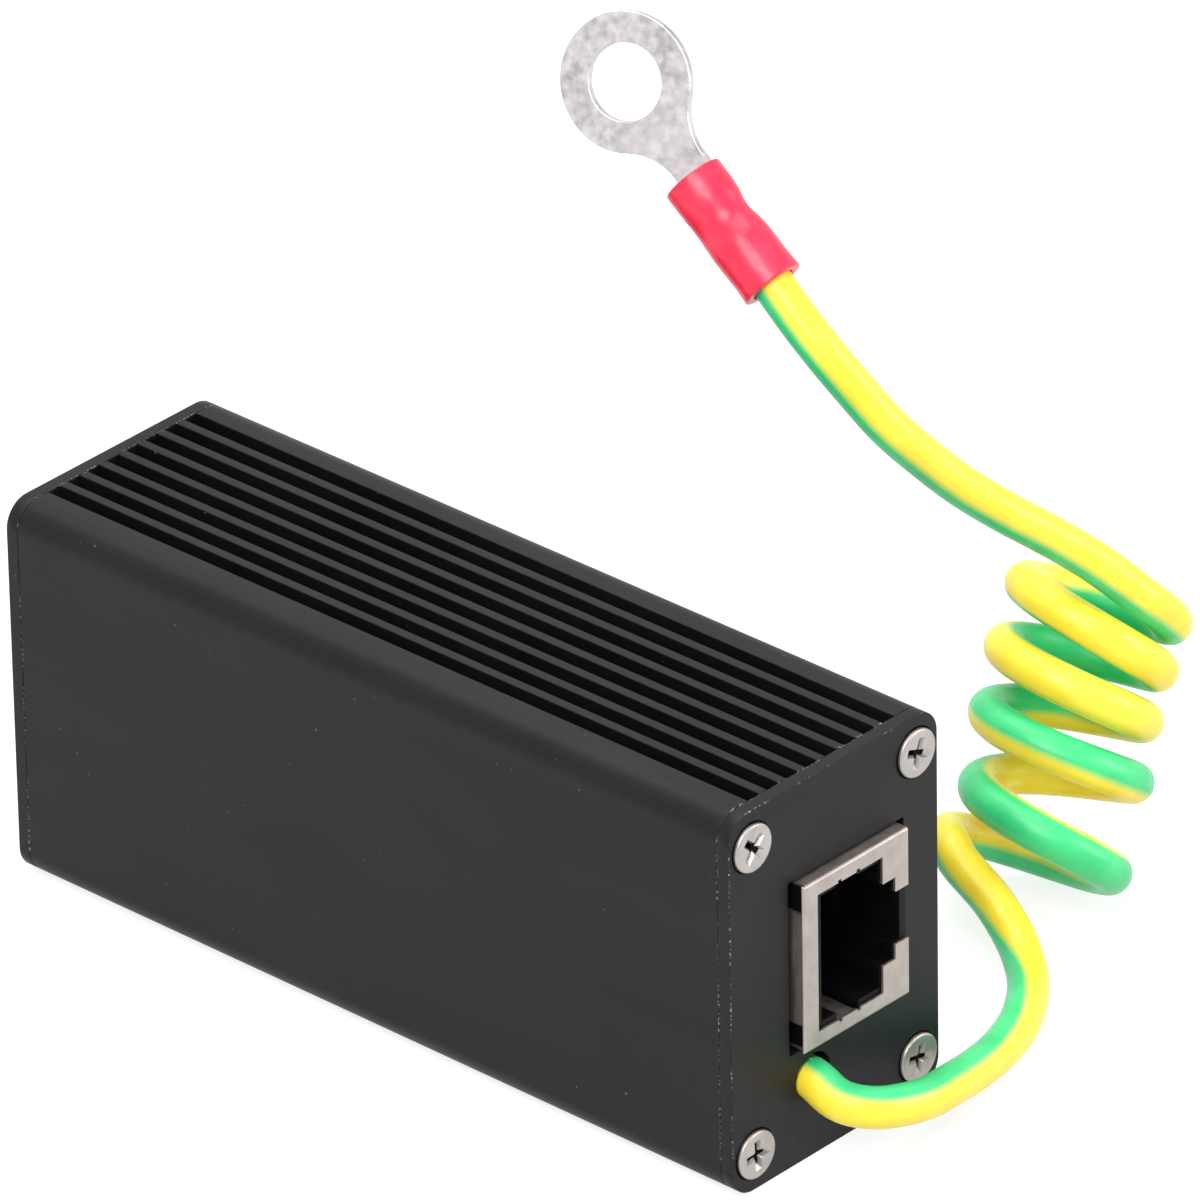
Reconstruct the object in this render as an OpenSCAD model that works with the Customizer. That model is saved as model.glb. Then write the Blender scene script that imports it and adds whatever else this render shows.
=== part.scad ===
// Ethernet surge protector: a grooved extruded housing with an end plate and a
// sideways network socket at each end, and an earth wire with a ring terminal.
// The body stands on z = 0, the socket with the earth wire faces -Y, millimetres.

/* [Housing] */
// Width of the body, side to side
body_w = 25.8; // [25.4:0.1:32]
// Height of the body
body_h = 36.2; // [35.6:0.1:44]
// Length over both end plates
body_l = 81.8; // [80:0.2:120]
// Radius of the long edges
corner_r = 2.5; // [1.2:0.1:3]
// Thickness of the side and bottom walls
wall_t = 1.6; // [1.2:0.1:1.9]
// Metal left under the grooves
groove_floor = 1.4; // [1:0.1:1.8]

/* [Grooves] */
// Number of grooves along the top
groove_n = 8; // [2:1:8]
// Distance from groove to groove
groove_pitch = 2.38; // [2:0.01:2.45]
// Width of a groove
groove_w = 1.45; // [0.8:0.05:1.6]
// Depth of a groove
groove_depth = 2; // [0.8:0.1:2.4]

/* [End plates] */
// Thickness of an end plate
plate_t = 1.3; // [1:0.1:2]
// Gap between the socket and its cut-out, across the body
cutout_side = 0.65; // [0.2:0.05:0.8]
// Gap between the socket and its cut-out, above and below
cutout_end = 0.25; // [0.2:0.05:0.6]

/* [Screws] */
// Diameter of the screw shank
screw_d = 2.5; // [2:0.1:2.6]
// Diameter of the screw head
head_d = 4.9; // [4.4:0.1:5]
// Thickness of the rim that stands proud of the plate
head_rise = 0.25; // [0.1:0.05:0.4]
// Length of the screw under its rim
screw_l = 7; // [5:0.5:10]
// Distance of a screw from the side of the body
screw_side = 2.75; // [2.7:0.05:3]
// Distance of a screw from the top or bottom of the body
screw_end = 3.45; // [3.1:0.05:3.8]

/* [Socket] */
// Width of the socket, along the height of the body
jack_w = 16; // [15.6:0.1:16.6]
// Height of the socket above its board
jack_h = 13; // [12.9:0.1:13.6]
// Length of the socket, front to back
jack_l = 20.8; // [20:0.1:22]
// How far the socket stands out of the plate
jack_out = 1.1; // [0.8:0.1:2.4]
// Height of the middle of the socket above the middle of the body
jack_rise = 0.9; // [0:0.1:2]
// Thickness of the socket's sheet metal
sheet_t = 0.3; // [0.2:0.05:0.35]
// Distance from contact to contact
contact_pitch = 1.02; // [0.95:0.01:1.05]

/* [Circuit board] */
// Thickness of the board
board_t = 1.2; // [0.8:0.1:1.2]
// Distance from the board's socket side to the side of the body
board_side = 4.95; // [4.9:0.05:5.6]

/* [Earth wire] */
// Diameter over the insulation
wire_d = 3.6; // [2.6:0.1:3.8]
// Diameter of the bare conductor
core_d = 1.5; // [1.2:0.1:1.6]
// Play of the wire in its hole
wire_play = 0.3; // [0.1:0.05:0.5]

/* [Ring terminal] */
// Outer diameter of the ring
ring_d = 12; // [10.5:0.1:13]
// Diameter of the stud hole
ring_hole_d = 6.7; // [4.3:0.1:6.8]
// Thickness of the ring
ring_t = 0.8; // [0.6:0.1:1]
// Width of the neck behind the ring
neck_w = 3.4; // [2.4:0.1:3.6]
// Diameter of the sleeve
sleeve_d = 5.7; // [4.8:0.1:6]
// Length of the sleeve
sleeve_l = 11.3; // [9:0.1:12]
// Distance from the sleeve to the middle of the ring
neck_l = 10.1; // [9.4:0.1:12]

/* [Hidden] */
$fn = 64;

// Small distance by which a cut runs past a face
eps = 0.1;
// Fit of the screw in its port, and of the board in its slots
port_fit = 0.05;
slot_fit = 0.1;

// Housing
shell_l = body_l - 2 * plate_t;
top_t = groove_depth + groove_floor;
screw_x = body_w / 2 - screw_side;
port_r = screw_d / 2 + port_fit;
port_wall = 0.9;
rail_lip = 1.2;
rail_depth = 1.9;

// Circuit board
board_x = body_w / 2 - board_side;
board_z0 = wall_t + slot_fit;
board_z1 = body_h - top_t - slot_fit;
board_end_gap = 0.8;
board_l = shell_l - 2 * board_end_gap;
notch_l = screw_l - plate_t - board_end_gap + 0.5;
notch_gap = 0.3;

// Socket: distances from its left face, and heights of its stepped mouth
jack_z = body_h / 2 + jack_rise;
jack_x0 = board_x - jack_h;
jack_y0 = -body_l / 2 - jack_out;
jack_y1 = jack_y0 + jack_l;
mouth_in = 1.75;
mouth_steps = [[mouth_in, 9.7, 13.1], [9.7, 11.26, 7.85], [11.26, 13, 5.05]];
finger_u = 5.65;
finger_w = 2.3;
finger_l = 5;
finger_out = 0.45;
flap_w = 10.7;
flap_cut_l = 3.2;
tab_w = 1.6;
tab_y = 11.2;
tab_l = 2.4;
insert_fit = 0.05;
latch_floor = 0.8;
notch_w = 0.4;
notch_h = 0.25;
plug_w = 12;
plug_depth = 13.5;
plug_in = 2.5;
back_wall = 1;
pocket_w = 9.2;
pocket_in = 0.7;
contact_w = 0.35;
contact_t = 0.3;
contact_in = 0.9;
contact_reach = 4.2;
leg_rows = [15.7, 18.2];
leg_l = 2.5;
leg_hole_r = 0.45;
peg_r = 1.55;
peg_hole_r = 1.65;
peg_y = 8.8;
peg_spread = 5.7;
peg_l = 2.2;

// Surge parts on the board
tube_r = 2.5;
cap_r = 2.75;
tube_l = 7;
cap_l = 1.2;
pad_room = 4.2;
tube_gap = 0.8;
tube_room = body_l - 2 * (jack_l - jack_out) - pad_room - tube_gap;
tube_pitch = (tube_room - 2 * cap_r) / 3;
tube_mid = (pad_room - tube_gap) / 2;
tube_z = jack_z - 7.4;
array_z = jack_z + 4.6;
array_pitch = tube_pitch * 1.5;
array_size = [1.5, 4.9, 3.9];

// Earth wire: where it leaves the front plate, and its route from there
wire_x = jack_x0 + 2.05;
wire_z = jack_z - jack_w / 2 - 3.5;
wire_hole_r = wire_d / 2 + wire_play;
wire_sag = wire_play / 2;
strip_l = 1.2;
solder_r = 1.7;
solder_gap = 0.3;
solder_y = jack_y1 + pad_room / 2;
solder_z = screw_end + port_r + port_wall + solder_r + solder_gap;
core_hole_r = core_d / 2 + 0.05;
lead_route = [
    [-3, -41, 7.5], [-3, -41.6, 7.5], [-3, -43, 6.9], [-2.9, -44, 6.5], [-2.4, -45.2, 6.2],
    [-1, -46.4, 5.85], [1, -47, 5.4], [4, -47.2, 4.75], [8, -46.5, 3.95], [12.5, -45.4, 3],
    [17, -43.9, 2.1], [21, -42.4, 1.8], [24, -40.8, 1.8], [27, -38.6, 1.8], [29.2, -36.3, 2],
    [31, -33.5, 2.8], [32, -31, 4], [32.3, -28.8, 5.2]
];
tail_route = [
    [52.6, -32, 24.3], [50, -31.5, 26.4], [49, -30.5, 28], [47.5, -28.5, 30],
    [45, -27.5, 32], [42, -27, 35], [39, -26, 38], [35, -24.5, 41], [32, -23, 45],
    [29, -21.5, 48.5], [27, -19, 52.5], [26, -17, 55.5], [25.5, -14.5, 58],
    [25.5, -12, 60], [25.5, -10, 61.5]
];
coil_base = [38, -28.5, 3.85];
coil_lean = 33;
coil_turn = 12.5;
coil_r1 = 8.9;
coil_r2 = 8.3;
coil_from = 0.5;
coil_to = 22.5;
coil_round = 1.2;
wire_sides = 8;

// Ring terminal: where the wire goes into its sleeve, its tilt and its roll
terminal_at = [25.5, -12, 60];
terminal_tilt = [-65, -38, 90];
barrel_d = 3.3;
barrel_in = 3;
barrel_out = 1.4;
barrel_bore_r = core_d / 2 + 0.1;
sleeve_bore_r = wire_d / 2 + 0.1;
sleeve_waist = 0.3;
ring_x = sleeve_l + neck_l;
ring_drop = barrel_d / 2 - ring_t / 2;
neck_fillet = 5.5;

// Plan of a body with rounded long edges, seen from the front
module body_outline() {
    translate([-body_w / 2 + corner_r, 0]) square([body_w - 2 * corner_r, body_h]);
    translate([-body_w / 2, corner_r]) square([body_w, body_h - 2 * corner_r]);
    for (x = [-1, 1], z = [corner_r, body_h - corner_r])
        translate([x * (body_w / 2 - corner_r), z]) circle(corner_r);
}

// Stands a drawing of X and Z up, and draws it out from y0 to y1
module along_y(y0, y1) {
    translate([0, y1, 0]) rotate([90, 0, 0]) linear_extrude(height = y1 - y0) children();
}

// One child at each of the four screws
module at_screws() {
    for (x = [-1, 1], z = [screw_end, body_h - screw_end])
        translate([x * screw_x, 0, z]) children();
}

module grooves() {
    for (i = [0 : groove_n - 1])
        translate([(i - (groove_n - 1) / 2) * groove_pitch - groove_w / 2, body_h - groove_depth])
            square([groove_w, groove_depth + eps]);
}

// Ribs that hold the edges of the board, and the screw ports, with the board's slots cut in them
module inner_ribs() {
    rib_l = rail_depth + groove_floor / 2;
    slot_l = screw_end + port_r + port_wall;
    difference() {
        union() {
            for (z = [wall_t + rail_depth - rib_l, body_h - top_t - rail_depth])
                translate([board_x - slot_fit - rail_lip, z])
                    square([board_t + 2 * (slot_fit + rail_lip), rib_l]);
            for (x = [-1, 1], z = [screw_end, body_h - screw_end])
                translate([x * screw_x, z]) circle(port_r + port_wall);
        }
        for (z = [wall_t, body_h - top_t - slot_l])
            translate([board_x - slot_fit, z]) square([board_t + 2 * slot_fit, slot_l]);
    }
}

module housing() {
    color([0.2, 0.2, 0.21]) difference() {
        along_y(-shell_l / 2, shell_l / 2) difference() {
            union() {
                difference() {
                    body_outline();
                    translate([-body_w / 2 + wall_t, wall_t])
                        square([body_w - 2 * wall_t, body_h - wall_t - top_t]);
                }
                inner_ribs();
            }
            grooves();
        }
        at_screws() rotate([90, 0, 0]) cylinder(r = port_r, h = shell_l + 2 * eps, center = true);
    }
}

// Cut-out that the socket stands through
module jack_cutout() {
    translate([jack_x0 - cutout_side, jack_z - jack_w / 2 - cutout_end])
        square([jack_h + 2 * cutout_side, jack_w + 2 * cutout_end]);
}

// An end plate at the front, with its outer face to -Y
module end_plate(with_wire_hole) {
    face_y = -body_l / 2;
    sink_l = (head_d - screw_d) / 2;
    difference() {
        along_y(face_y, face_y + plate_t) difference() {
            body_outline();
            jack_cutout();
        }
        at_screws() translate([0, face_y - eps, 0]) rotate([-90, 0, 0])
            cylinder(r = port_r + 0.1, h = plate_t + 2 * eps);
        at_screws() translate([0, face_y, 0]) rotate([-90, 0, 0])
            cylinder(r1 = head_d / 2 + 0.1, r2 = screw_d / 2 + 0.1, h = sink_l);
        if (with_wire_hole)
            translate([wire_x + wire_sag, face_y - eps, wire_z + wire_sag]) rotate([-90, 0, 0])
                cylinder(r = wire_hole_r, h = plate_t + 2 * eps);
    }
}

module front_plate() {
    color([0.21, 0.21, 0.22]) end_plate(true);
}

module rear_plate() {
    color([0.21, 0.21, 0.22]) mirror([0, 1, 0]) end_plate(false);
}

// Cross recess of a screw, cut downwards from z = 0
module cross_recess() {
    for (turn = [0, 90])
        rotate([0, 0, turn]) translate([-1.3, -0.3, -0.8]) cube([2.6, 0.6, 0.8 + eps]);
    translate([0, 0, -1.1]) cylinder(r1 = 0.3, r2 = 0.85, h = 1.1 + eps);
}

// Countersunk screw standing on z = 0, its head upwards
module countersunk_screw() {
    head_l = (head_d - screw_d) / 2;
    difference() {
        union() {
            cylinder(d = head_d, h = head_rise);
            translate([0, 0, -head_l]) cylinder(d1 = screw_d, d2 = head_d, h = head_l);
            translate([0, 0, -screw_l]) cylinder(d = screw_d, h = screw_l - head_l / 2);
        }
        translate([0, 0, head_rise]) cross_recess();
    }
}

module end_screws() {
    color([0.75, 0.73, 0.7]) at_screws()
        translate([0, -body_l / 2, 0]) rotate([90, 0, 0]) countersunk_screw();
}

module front_screws() {
    end_screws();
}

module rear_screws() {
    mirror([0, 1, 0]) end_screws();
}

// Box given by its distances from the socket's left face, front face and middle height
module jack_box(u, v, z) {
    translate([jack_x0 + u[0], jack_y0 + v[0], jack_z + z[0]])
        cube([u[1] - u[0], v[1] - v[0], z[1] - z[0]]);
}

// Folded sheet metal can of the socket, open towards the board
module jack_shield() {
    half = jack_w / 2;
    color([0.78, 0.76, 0.75]) difference() {
        union() {
            jack_box([0, jack_h], [0, jack_l], [-half, half]);
            for (s = [-1, 1])
                translate([board_x, jack_y0 + tab_y, jack_z + s * (half - sheet_t / 2)])
                    translate([-eps, -tab_w / 2, -sheet_t / 2]) cube([tab_l + eps, tab_w, sheet_t]);
        }
        difference() {
            jack_box([sheet_t, jack_h + eps], [sheet_t, jack_l - sheet_t],
                     [-half + sheet_t, half - sheet_t]);
            for (s = [-1, 1])
                translate([jack_x0 + finger_u - finger_w / 2, jack_y0,
                           jack_z + s * (mouth_steps[0][2] / 2 + finger_out) - sheet_t / 2])
                    cube([finger_w, finger_l, sheet_t]);
        }
        for (m = mouth_steps)
            jack_box([m[0], m[1] + eps], [-eps, sheet_t + eps], [-m[2] / 2, m[2] / 2]);
        for (s = [-1, 1], e = [-1, 1])
            translate([jack_x0 + finger_u + e * finger_w / 2 - notch_w / 2, jack_y0 - eps,
                       jack_z + s * mouth_steps[0][2] / 2 - notch_h])
                cube([notch_w, sheet_t + 2 * eps, 2 * notch_h]);
        for (z = [[flap_w / 2, half + eps], [-half - eps, -flap_w / 2]])
            jack_box([-eps, sheet_t + eps], [sheet_t, flap_cut_l], z);
    }
}

// Moulded black body of the socket, with the stepped space for the plug
module jack_insert() {
    half = jack_w / 2 - sheet_t - insert_fit;
    front = sheet_t + insert_fit;
    back = jack_l - sheet_t - insert_fit;
    finger_z = mouth_steps[0][2] / 2 + finger_out;
    color([0.1, 0.1, 0.1]) difference() {
        union() {
            jack_box([front, jack_h], [front, back], [-half, half]);
            for (s = [-1, 1])
                translate([board_x - eps, jack_y0 + peg_y, jack_z + s * peg_spread])
                    rotate([0, 90, 0]) cylinder(r = peg_r, h = peg_l + eps);
        }
        jack_box([plug_in, mouth_steps[0][1]], [0, plug_depth], [-plug_w / 2, plug_w / 2]);
        jack_box([mouth_steps[0][1] - eps, mouth_steps[1][1]], [0, plug_depth],
                 [-mouth_steps[1][2] / 2, mouth_steps[1][2] / 2]);
        jack_box([mouth_steps[1][1] - eps, jack_h - latch_floor], [0, plug_depth / 2],
                 [-mouth_steps[2][2] / 2, mouth_steps[2][2] / 2]);
        jack_box([pocket_in, plug_in + eps], [front + 1, back + eps], [-pocket_w / 2, pocket_w / 2]);
        jack_box([plug_in, jack_h + eps], [plug_depth + back_wall, back + eps],
                 [-pocket_w / 2, pocket_w / 2]);
        for (s = [-1, 1])
            translate([jack_x0 + finger_u - finger_w / 2 - 0.2, jack_y0,
                       jack_z + s * finger_z - sheet_t / 2 - 0.15])
                cube([finger_w + 0.4, finger_l + 0.3, sheet_t + 0.3]);
        for (s = [-1, 1])
            translate([jack_x0 + finger_u - finger_w / 2 - 0.2, jack_y0,
                       jack_z + (s > 0 ? plug_w / 2 - eps : -finger_z)])
                cube([finger_w + 0.4, finger_l + 0.3, finger_z - plug_w / 2 + eps]);
    }
}

// One spring contact: a slanted spring, a run along the pocket and a leg into the board
module jack_contact(leg_y) {
    x0 = contact_in;
    front = 2.2;
    tip = [contact_reach, plug_depth - 2.4];
    bend = [x0, front];
    points = [
        [x0 + contact_t, front + 1], tip, [tip[0] + contact_t, tip[1]],
        [x0 + contact_t + 0.5, front - 0.2], [x0, front - 0.6],
        bend, [x0, leg_y + contact_t], [jack_h + leg_l, leg_y + contact_t],
        [jack_h + leg_l, leg_y], [x0 + contact_t, leg_y]
    ];
    translate([jack_x0, jack_y0, jack_z]) linear_extrude(height = contact_w, center = true)
        polygon(points);
}

module jack_contacts() {
    color([0.85, 0.68, 0.3]) for (i = [0 : 7])
        translate([0, 0, (i - 3.5) * contact_pitch]) jack_contact(leg_rows[i % 2]);
}

module front_jack_shield() {
    jack_shield();
}

module front_jack_insert() {
    jack_insert();
}

module front_jack_contacts() {
    jack_contacts();
}

module rear_jack_shield() {
    mirror([0, 1, 0]) jack_shield();
}

module rear_jack_insert() {
    mirror([0, 1, 0]) jack_insert();
}

module rear_jack_contacts() {
    mirror([0, 1, 0]) jack_contacts();
}

// Hole through the board at a distance behind the socket's face
module board_hole(y, z, r) {
    translate([board_x - eps, jack_y0 + y, z]) rotate([0, 90, 0])
        cylinder(r = r, h = board_t + 2 * eps);
}

// Holes of one socket: contact legs, pegs and the tabs of its can
module jack_holes() {
    for (i = [0 : 7])
        board_hole(leg_rows[i % 2] + contact_t / 2, jack_z + (i - 3.5) * contact_pitch, leg_hole_r);
    for (s = [-1, 1]) {
        board_hole(peg_y, jack_z + s * peg_spread, peg_hole_r);
        board_hole(tab_y, jack_z + s * (jack_w - sheet_t) / 2, tab_w / 2 + 0.15);
    }
}

module circuit_board() {
    notch = screw_end + port_r + notch_gap;
    color([0.1, 0.4, 0.2]) difference() {
        translate([board_x, -board_l / 2, board_z0]) cube([board_t, board_l, board_z1 - board_z0]);
        for (s = [-1, 1], z = [0, body_h - notch])
            translate([board_x - eps, s * (board_l - notch_l) / 2 - notch_l / 2 - eps, z])
                cube([board_t + 2 * eps, notch_l + 2 * eps, notch]);
        jack_holes();
        mirror([0, 1, 0]) jack_holes();
        board_hole(solder_y - jack_y0, solder_z, core_hole_r);
    }
}

// Place of gas tube number i on the board, its axis along Z
module at_tube(i) {
    translate([board_x - cap_r, tube_mid + (i - 2.5) * tube_pitch, tube_z]) children();
}

module gas_tube(i) {
    color([0.9, 0.88, 0.84]) at_tube(i) cylinder(r = tube_r, h = tube_l - 2 * cap_l, center = true);
}

module gas_tube_caps(i) {
    color([0.8, 0.8, 0.8]) at_tube(i) for (s = [-1, 1])
        translate([0, 0, s * (tube_l - cap_l) / 2]) cylinder(r = cap_r, h = cap_l, center = true);
}

// Moulded diode array with its bent legs along both long edges
module diode_array(i) {
    body = array_size;
    translate([board_x, tube_mid + (i - 1.5) * array_pitch, array_z]) {
        color([0.1, 0.1, 0.1]) translate([-body[0] - 0.15, -body[1] / 2, -body[2] / 2]) cube(body);
        color([0.8, 0.8, 0.8]) for (k = [-1.5 : 1.5], s = [-1, 1])
            translate([0, k * 1.27, s * (body[2] / 2 + 0.5)]) {
                translate([-0.9, -0.2, -0.55]) cube([0.2, 0.4, 1.1]);
                translate([-0.9, -0.2, s > 0 ? 0.35 : -0.55]) cube([0.9, 0.4, 0.2]);
            }
    }
}

// Closed tube with flat sides along a route, one ring at each point of it
function unit(v) = v / norm(v);
function heading(route, i) =
    unit(route[min(i + 1, len(route) - 1)] - route[max(i - 1, 0)]);
function ring_points(route, i, r) =
    let (t = heading(route, i), side = unit(cross([0, 0, 1], t)), rise = cross(t, side))
    [for (k = [0 : wire_sides - 1])
        route[i] + r * (cos(360 * k / wire_sides) * side + sin(360 * k / wire_sides) * rise)];

module wire(route, r) {
    last = (len(route) - 1) * wire_sides;
    points = [for (i = [0 : len(route) - 1]) each ring_points(route, i, r)];
    sides = [for (i = [0 : len(route) - 2], k = [0 : wire_sides - 1])
        let (a = i * wire_sides + k, b = i * wire_sides + (k + 1) % wire_sides)
        each [[a, a + wire_sides, b], [b, a + wire_sides, b + wire_sides]]];
    ends = [[for (k = [0 : wire_sides - 1]) k],
            [for (k = [0 : wire_sides - 1]) last + wire_sides - 1 - k]];
    polyhedron(points = points, faces = concat(sides, ends));
}

// From the hole in the front plate to the pad on the board, inside the housing
module earth_wire_inner() {
    y0 = -body_l / 2;
    run = board_x - strip_l - wire_x;
    rise = solder_z - wire_z;
    color([0.85, 0.85, 0.2]) wire([
        [wire_x, y0, wire_z], [wire_x, y0 + 4, wire_z], [wire_x, solder_y - 5.5, wire_z],
        [wire_x + 0.08 * run, solder_y - 2.7, wire_z],
        [wire_x + 0.3 * run, solder_y - 0.7, wire_z + rise / 3],
        [wire_x + 0.6 * run, solder_y, solder_z - rise / 6], [wire_x + 0.8 * run, solder_y, solder_z],
        [board_x - strip_l, solder_y, solder_z]
    ], wire_d / 2);
}

module earth_conductor() {
    color([0.8, 0.5, 0.3]) translate([board_x - strip_l, solder_y, solder_z])
        rotate([0, 90, 0]) cylinder(d = core_d, h = strip_l + board_t + 1);
}

module earth_solder() {
    color([0.75, 0.75, 0.75])
        translate([board_x + board_t, solder_y, solder_z]) rotate([0, 90, 0])
            rotate_extrude() polygon([[core_d / 2, 0], [solder_r, 0], [1, 0.45], [core_d / 2, 0.9]]);
}

module earth_wire_lead() {
    color([0.85, 0.85, 0.2]) wire(lead_route, wire_d / 2);
}

module earth_wire_tail() {
    color([0.85, 0.85, 0.2]) wire(tail_route, wire_d / 2);
}

// Outer shape of the coiled stretch
module earth_wire_coil() {
    h = coil_to - coil_from;
    color([0.2, 0.75, 0.4]) translate(coil_base) rotate([0, coil_lean, coil_turn])
        translate([0, 0, coil_from]) rotate_extrude() polygon([
            [0, 0], [coil_r1 - coil_round, 0], [coil_r1, coil_round],
            [coil_r2, h - coil_round], [coil_r2 - coil_round, h], [0, h]
        ]);
}

// Terminal's own frame: X from the wire to the ring, Z square to the ring
module at_terminal() {
    translate(terminal_at) rotate(terminal_tilt) children();
}

// Flat ring with its neck, in plan
module ring_outline() {
    side = neck_w / 2 + neck_fillet;
    reach = sqrt(pow(ring_d / 2 + neck_fillet, 2) - pow(side, 2));
    share = ring_d / (ring_d + 2 * neck_fillet);
    circle(d = ring_d);
    difference() {
        translate([-reach, -side * share]) square([reach, 2 * side * share]);
        for (s = [-1, 1]) translate([-reach, s * side]) circle(neck_fillet);
    }
    translate([-neck_l, -neck_w / 2]) square([neck_l, neck_w]);
}

module ring_terminal() {
    color([0.82, 0.82, 0.83]) at_terminal() difference() {
        union() {
            translate([ring_x, 0, -ring_drop - ring_t / 2])
                linear_extrude(height = ring_t) ring_outline();
            difference() {
                translate([barrel_in, 0, 0]) rotate([0, 90, 0])
                    cylinder(d = barrel_d, h = sleeve_l + barrel_out - barrel_in);
                translate([sleeve_l - 0.6, 0, 0.4]) rotate([0, 48, 0])
                    translate([-3, -3, 0]) cube([12, 6, 6]);
            }
        }
        translate([barrel_in - eps, 0, 0]) rotate([0, 90, 0])
            cylinder(r = barrel_bore_r, h = sleeve_l + barrel_out);
        translate([ring_x, 0, -barrel_d]) cylinder(d = ring_hole_d, h = barrel_d + 2);
    }
}

module terminal_sleeve() {
    r = sleeve_d / 2;
    color([0.9, 0.2, 0.3]) at_terminal() rotate([0, 90, 0]) rotate_extrude() polygon([
        [sleeve_bore_r, 0], [r, 0], [r, 0.30 * sleeve_l], [r - sleeve_waist, 0.45 * sleeve_l],
        [r - sleeve_waist, 0.6 * sleeve_l], [r, 0.75 * sleeve_l], [r, sleeve_l],
        [sleeve_bore_r, sleeve_l]
    ]);
}

module terminal_strands() {
    color([0.8, 0.5, 0.3]) at_terminal() translate([barrel_in - 0.44, 0, 0])
        rotate([0, 90, 0]) cylinder(d = core_d, h = sleeve_l - barrel_in + 0.24);
}

housing();
front_plate();
rear_plate();
front_screws();
rear_screws();
front_jack_shield();
front_jack_insert();
front_jack_contacts();
rear_jack_shield();
rear_jack_insert();
rear_jack_contacts();
circuit_board();
for (i = [1 : 4]) {
    gas_tube(i);
    gas_tube_caps(i);
}
for (i = [1 : 2])
    diode_array(i);
earth_wire_inner();
earth_conductor();
earth_solder();
earth_wire_lead();
earth_wire_coil();
earth_wire_tail();
ring_terminal();
terminal_sleeve();
terminal_strands();
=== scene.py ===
import math
import bpy
import bmesh
import numpy as np
from mathutils import Matrix, Vector


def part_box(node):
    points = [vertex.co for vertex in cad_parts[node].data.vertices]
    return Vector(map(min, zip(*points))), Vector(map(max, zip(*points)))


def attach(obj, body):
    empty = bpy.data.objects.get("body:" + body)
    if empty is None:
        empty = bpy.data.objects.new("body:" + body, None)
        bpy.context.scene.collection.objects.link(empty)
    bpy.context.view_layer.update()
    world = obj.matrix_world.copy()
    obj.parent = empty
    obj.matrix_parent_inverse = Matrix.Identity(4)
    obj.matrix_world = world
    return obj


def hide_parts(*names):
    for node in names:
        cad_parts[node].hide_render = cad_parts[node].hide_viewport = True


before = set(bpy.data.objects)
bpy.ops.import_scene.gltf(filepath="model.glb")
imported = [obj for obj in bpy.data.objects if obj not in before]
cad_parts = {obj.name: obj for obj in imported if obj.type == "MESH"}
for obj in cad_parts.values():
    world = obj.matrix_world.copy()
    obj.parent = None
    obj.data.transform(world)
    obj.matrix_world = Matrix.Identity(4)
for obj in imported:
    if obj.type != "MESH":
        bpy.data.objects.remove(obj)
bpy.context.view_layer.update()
mm = 0.001


# Small helpers

def deselectAll():
    if bpy.context.object and bpy.context.object.mode != "OBJECT":
        bpy.ops.object.mode_set(mode="OBJECT")
    bpy.ops.object.select_all(action="DESELECT")


def pick(piece):
    deselectAll()
    piece.select_set(True)
    bpy.context.view_layer.objects.active = piece
    return piece


def linear(hexColour):
    # sRGB hex to the linear values that a shader takes
    values = [int(hexColour[i:i + 2], 16) / 255 for i in (1, 3, 5)]
    return [v / 12.92 if v <= 0.04045 else ((v + 0.055) / 1.055) ** 2.4 for v in values] + [1.0]


def addNode(material, kind, settings=None, inputs=None):
    # adds a node, sets its settings, and fills or links its inputs
    node = material.node_tree.nodes.new(kind)
    for name, value in (settings or {}).items():
        setattr(node, name, value)
    for name, value in (inputs or {}).items():
        if isinstance(value, bpy.types.NodeSocket):
            material.node_tree.links.new(value, node.inputs[name])
        else:
            node.inputs[name].default_value = value
    return node


def newMaterial(name):
    material = bpy.data.materials.new(name)
    material.use_nodes = True
    shader = material.node_tree.nodes["Principled BSDF"]
    return material, shader


def ramp(material, factor, stops):
    # colour ramp from a list of (place, hex)
    node = addNode(material, "ShaderNodeValToRGB", inputs={"Fac": factor})
    elements = node.color_ramp.elements
    while len(elements) < len(stops):
        elements.new(0.5)
    for element, (place, colour) in zip(elements, stops):
        element.position = place
        element.color = linear(colour)
    return node.outputs["Color"]


def span(material, value, low, high, outLow, outHigh):
    node = addNode(material, "ShaderNodeMapRange", inputs={
        "Value": value, "From Min": low, "From Max": high, "To Min": outLow, "To Max": outHigh})
    return node.outputs["Result"]


def noise(material, sizeMm, detail=2.0, rough=0.5, stretch=(1, 1, 1), shift=(0, 0, 0)):
    # noise whose features are about sizeMm across, on Object coordinates
    place = addNode(material, "ShaderNodeTexCoord").outputs["Object"]
    mapping = addNode(material, "ShaderNodeMapping", inputs={
        "Vector": place, "Scale": stretch, "Location": shift})
    node = addNode(material, "ShaderNodeTexNoise", inputs={
        "Vector": mapping.outputs["Vector"], "Scale": 1 / (sizeMm * mm), "Detail": detail,
        "Roughness": rough})
    return node.outputs["Fac"]


def mixed(material, factor, first, second):
    node = addNode(material, "ShaderNodeMix", {"data_type": "RGBA"})
    links = material.node_tree.links
    links.new(factor, node.inputs[0])
    for socket, value in ((node.inputs[6], first), (node.inputs[7], second)):
        if isinstance(value, bpy.types.NodeSocket):
            links.new(value, socket)
        else:
            socket.default_value = linear(value)
    return node.outputs[2]


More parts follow.
